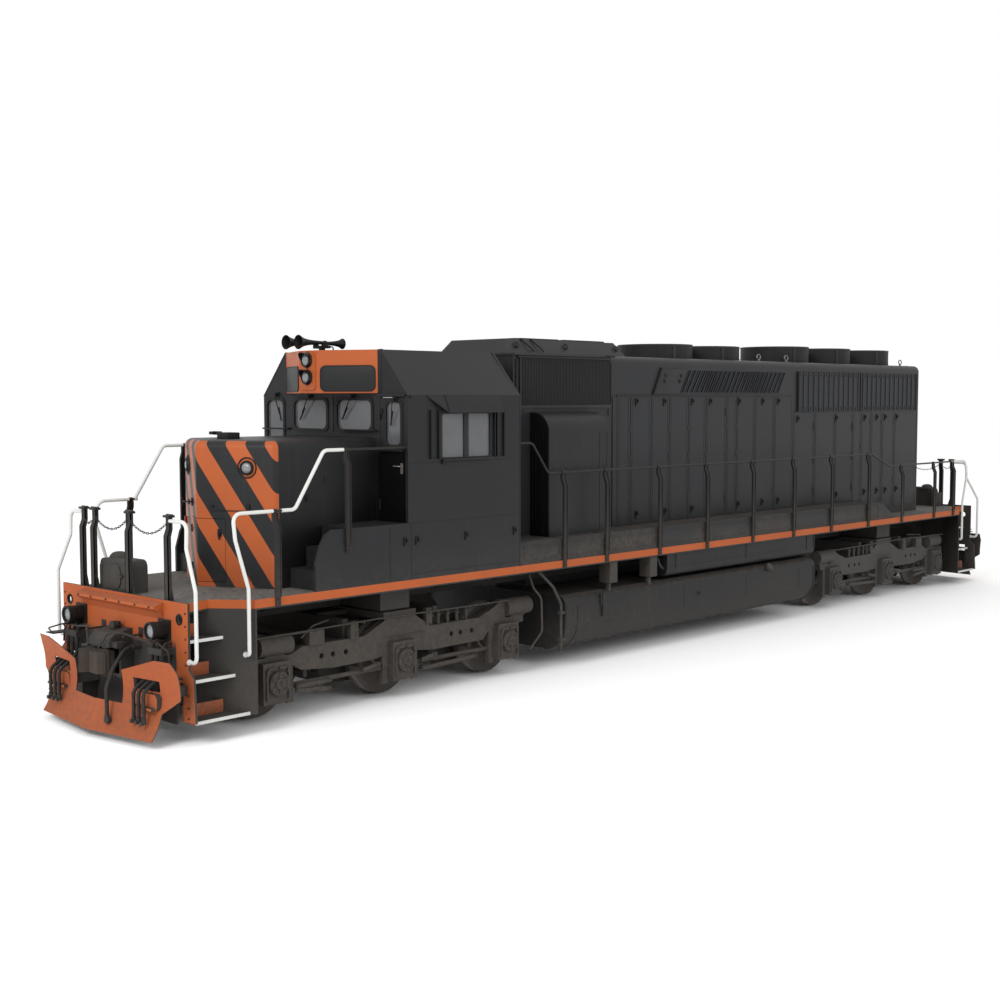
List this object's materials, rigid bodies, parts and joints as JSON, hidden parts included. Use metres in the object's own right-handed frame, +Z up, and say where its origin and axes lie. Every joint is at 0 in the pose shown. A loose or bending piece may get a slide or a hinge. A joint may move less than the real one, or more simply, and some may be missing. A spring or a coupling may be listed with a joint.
{
  "type": "diesel locomotive",
  "caption": "Six-axle road diesel locomotive with a low nose, hollow cab, long hood with roof fans, swivelling bogies, plows and side handrails.",
  "frame": {"origin": "under the middle of the locomotive, on the plane of the lowest points of the wheel flanges", "axes": "+X along the length towards the nose, +Y to the left side, +Z up"},
  "size_m": [21.22, 3.138, 4.9949],
  "materials": {
    "body_paint": "satin",
    "orange_paint": "satin",
    "frame_paint": "dusty",
    "plow_paint": "dusty",
    "coupler_steel": "rough",
    "bogie_casting": "dusty",
    "motor_casting": "dusty",
    "wheel_steel": "worn",
    "rail_paint": "satin",
    "hose_rubber": "matte",
    "grille_paint": "satin",
    "fan_paint": "satin",
    "engine_paint": "satin",
    "horn_metal": "satin",
    "cab_floor": "matte",
    "seat_fabric": "matte",
    "stand_paint": "satin",
    "window_glass": "clear"
  },
  "bodies": {
    "locomotive": {"underframe": "frame_paint", "front_pilot": "orange_paint", "rear_pilot": "orange_paint", "front_air_hoses": "hose_rubber", "front_plow": "plow_paint", "rear_plow": "plow_paint", "fuel_tank": "frame_paint", "air_reservoirs": "frame_paint", "short_hood": "body_paint", "battery_boxes": "body_paint", "cab_sides": "body_paint", "cab_front_wall": "body_paint", "cab_rear_wall": "body_paint", "cab_roof": "body_paint", "cab_floor": "cab_floor", "seats": "seat_fabric", "control_stand": "stand_paint", "cab_glass": "window_glass", "headlight_housing": "orange_paint", "horn": "horn_metal", "filter_house": "body_paint", "roof_hatch": "body_paint", "blower_duct": "body_paint", "walkway_duct": "body_paint", "long_hood": "body_paint", "brake_grilles": "grille_paint", "radiator_grilles": "grille_paint", "fan_housings": "fan_paint", "engine_block": "engine_paint", "left_handrails": "rail_paint", "right_handrails": "rail_paint", "end_rails": "rail_paint", "end_boxes": "body_paint"},
    "front_bogie": {"front_bogie_frame": "bogie_casting", "front_bogie_journal_boxes": "bogie_casting", "front_bogie_brake_gear": "bogie_casting", "front_bogie_motors": "motor_casting"},
    "rear_bogie": {"rear_bogie_frame": "bogie_casting", "rear_bogie_journal_boxes": "bogie_casting", "rear_bogie_brake_gear": "bogie_casting", "rear_bogie_motors": "motor_casting"},
    "front_wheelset_1": {"front_wheelset_1": "wheel_steel"},
    "front_wheelset_2": {"front_wheelset_2": "wheel_steel"},
    "front_wheelset_3": {"front_wheelset_3": "wheel_steel"},
    "rear_wheelset_1": {"rear_wheelset_1": "wheel_steel"},
    "rear_wheelset_2": {"rear_wheelset_2": "wheel_steel"},
    "rear_wheelset_3": {"rear_wheelset_3": "wheel_steel"},
    "brake_fan_1": {"brake_fan_1": "fan_paint"},
    "brake_fan_2": {"brake_fan_2": "fan_paint"},
    "radiator_fan_1": {"radiator_fan_1": "fan_paint"},
    "radiator_fan_2": {"radiator_fan_2": "fan_paint"},
    "radiator_fan_3": {"radiator_fan_3": "fan_paint"},
    "front_coupler": {"front_coupler": "coupler_steel"},
    "rear_coupler": {"rear_coupler": "coupler_steel"},
    "nose_door": {"nose_door": "body_paint"},
    "front_cab_door": {"front_cab_door": "body_paint", "front_cab_door_glass": "window_glass"},
    "rear_cab_door": {"rear_cab_door": "body_paint", "rear_cab_door_glass": "window_glass"}
  },
  "joints": [
    {"name": "front_bogie_swivel", "type": "hinge", "parent": "locomotive", "child": "front_bogie", "pos_m": [6.6295, 0, 1.155], "axis": [0, 0, 1], "range_deg": [-6.5, 6.5]},
    {"name": "front_wheelset_1_roll", "type": "hinge", "parent": "front_bogie", "child": "front_wheelset_1", "pos_m": [8.6995, 0, 0.533], "axis": [0, 1, 0], "continuous": true},
    {"name": "front_wheelset_2_roll", "type": "hinge", "parent": "front_bogie", "child": "front_wheelset_2", "pos_m": [6.5825, 0, 0.533], "axis": [0, 1, 0], "continuous": true},
    {"name": "front_wheelset_3_roll", "type": "hinge", "parent": "front_bogie", "child": "front_wheelset_3", "pos_m": [4.5595, 0, 0.533], "axis": [0, 1, 0], "continuous": true},
    {"name": "front_coupler_swing", "type": "hinge", "parent": "locomotive", "child": "front_coupler", "pos_m": [9.76, 0, 0.875], "axis": [0, 0, 1], "range_deg": [-7, 7]},
    {"name": "rear_bogie_swivel", "type": "hinge", "parent": "locomotive", "child": "rear_bogie", "pos_m": [-6.6295, 0, 1.155], "axis": [0, 0, 1], "range_deg": [-6.5, 6.5]},
    {"name": "rear_wheelset_1_roll", "type": "hinge", "parent": "rear_bogie", "child": "rear_wheelset_1", "pos_m": [-8.6995, 0, 0.533], "axis": [0, 1, 0], "continuous": true},
    {"name": "rear_wheelset_2_roll", "type": "hinge", "parent": "rear_bogie", "child": "rear_wheelset_2", "pos_m": [-6.5825, 0, 0.533], "axis": [0, 1, 0], "continuous": true},
    {"name": "rear_wheelset_3_roll", "type": "hinge", "parent": "rear_bogie", "child": "rear_wheelset_3", "pos_m": [-4.5595, 0, 0.533], "axis": [0, 1, 0], "continuous": true},
    {"name": "rear_coupler_swing", "type": "hinge", "parent": "locomotive", "child": "rear_coupler", "pos_m": [-9.76, 0, 0.875], "axis": [0, 0, 1], "range_deg": [-7, 7]},
    {"name": "brake_fan_1_spin", "type": "hinge", "parent": "locomotive", "child": "brake_fan_1", "pos_m": [-0.53, 0, 4.8], "axis": [0, 0, 1], "continuous": true},
    {"name": "brake_fan_2_spin", "type": "hinge", "parent": "locomotive", "child": "brake_fan_2", "pos_m": [-1.97, 0, 4.8], "axis": [0, 0, 1], "continuous": true},
    {"name": "radiator_fan_1_spin", "type": "hinge", "parent": "locomotive", "child": "radiator_fan_1", "pos_m": [-4.33, 0, 4.8], "axis": [0, 0, 1], "continuous": true},
    {"name": "radiator_fan_2_spin", "type": "hinge", "parent": "locomotive", "child": "radiator_fan_2", "pos_m": [-5.9, 0, 4.8], "axis": [0, 0, 1], "continuous": true},
    {"name": "radiator_fan_3_spin", "type": "hinge", "parent": "locomotive", "child": "radiator_fan_3", "pos_m": [-7.47, 0, 4.8], "axis": [0, 0, 1], "continuous": true},
    {"name": "nose_door_hinge", "type": "hinge", "parent": "locomotive", "child": "nose_door", "pos_m": [8.396, -0.342, 2.105], "axis": [0, 0, -1], "range_deg": [0, 110]},
    {"name": "front_cab_door_hinge", "type": "hinge", "parent": "locomotive", "child": "front_cab_door", "pos_m": [6.751, 1.003, 3.2], "axis": [0, 0, -1], "range_deg": [0, 90]},
    {"name": "rear_cab_door_hinge", "type": "hinge", "parent": "locomotive", "child": "rear_cab_door", "pos_m": [4.569, -1.003, 3.2], "axis": [0, 0, -1], "range_deg": [0, 90]}
  ]
}
